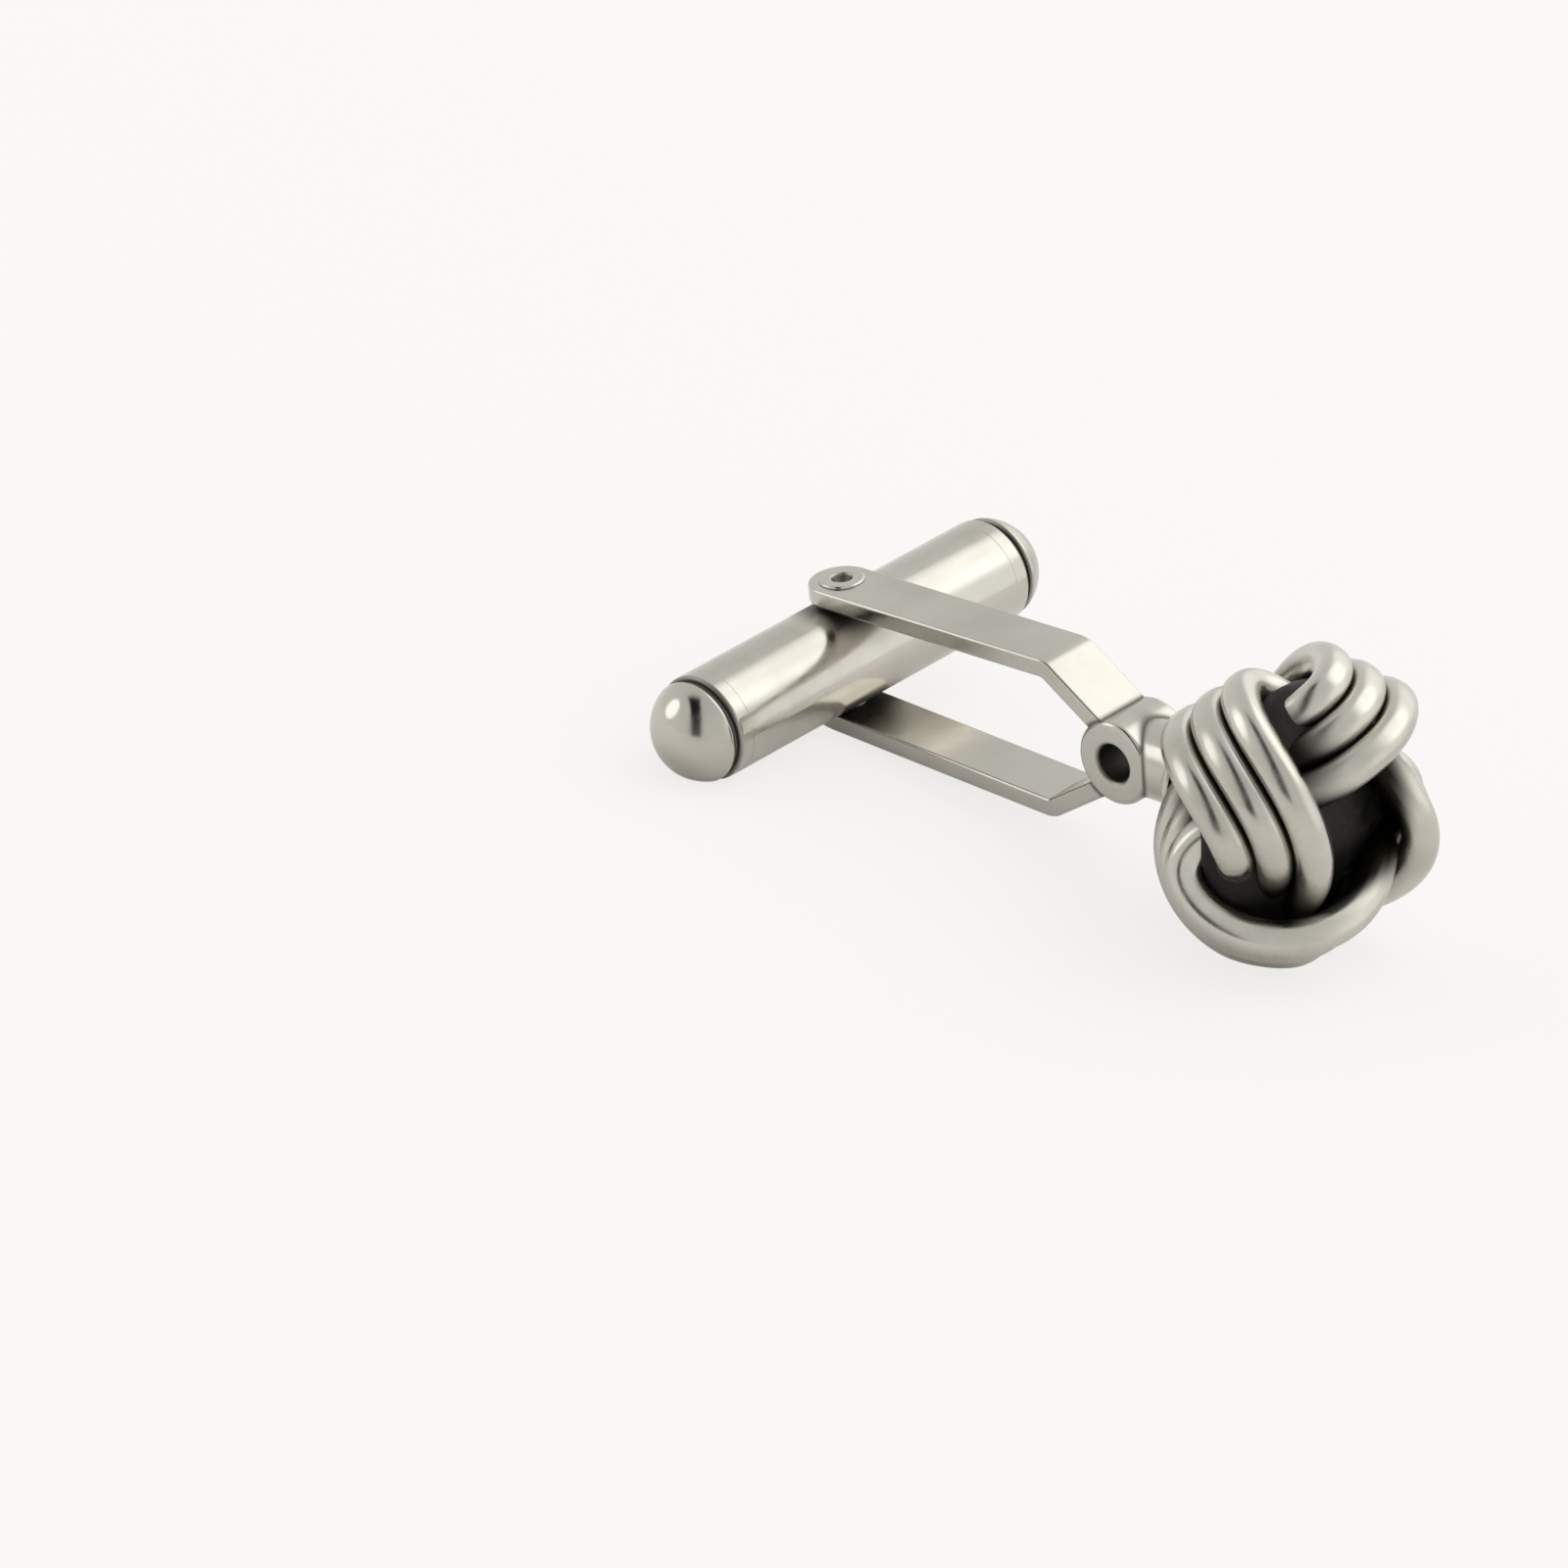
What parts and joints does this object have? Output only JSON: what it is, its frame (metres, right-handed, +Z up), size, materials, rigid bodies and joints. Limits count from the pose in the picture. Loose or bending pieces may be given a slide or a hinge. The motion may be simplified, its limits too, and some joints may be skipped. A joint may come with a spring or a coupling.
{
  "type": "knot cufflink with swivel bar",
  "caption": "Cufflink with a woven wire knot, a post, a two-armed fork and a torpedo bar that swivels on a rivet between the arms to pass through a buttonhole.",
  "frame": {"origin": "on the fork's axis, in the plane where the back of the knot rests on the cuff", "axes": "+X along the fork to the front of the knot, +Y along the bar when it stands across the fork, +Z up along the pivot pin"},
  "size_m": [0.0271, 0.019, 0.011],
  "materials": {
    "wire": "polished silver-coloured plate, darkened in the recesses of the weave",
    "former": "blackened",
    "post": "polished silver-coloured plate",
    "arm": "polished silver-coloured plate",
    "pin": "polished silver-coloured plate",
    "bar": "polished silver-coloured plate",
    "spring": "plain spring steel"
  },
  "bodies": {
    "fork": {"knot_wire_a": "wire", "knot_wire_b": "wire", "knot_wire_c": "wire", "knot_wire_d": "wire", "knot_wire_e": "wire", "knot_wire_f": "wire", "knot_core": "former", "post": "post", "knuckle": "post", "arm_upper": "arm", "arm_lower": "arm", "pivot_pin": "pin"},
    "bar": {"bar_tube": "bar", "cap_near": "bar", "cap_far": "bar", "spring_head_side": "spring", "spring_free_side": "spring"}
  },
  "joints": [
    {"name": "bar_swivel", "type": "hinge", "parent": "fork", "child": "bar", "pos_m": [-0.0173, 0, 0], "axis": [0, 0, 1], "continuous": true, "deforming": ["spring_head_side", "spring_free_side"]}
  ]
}
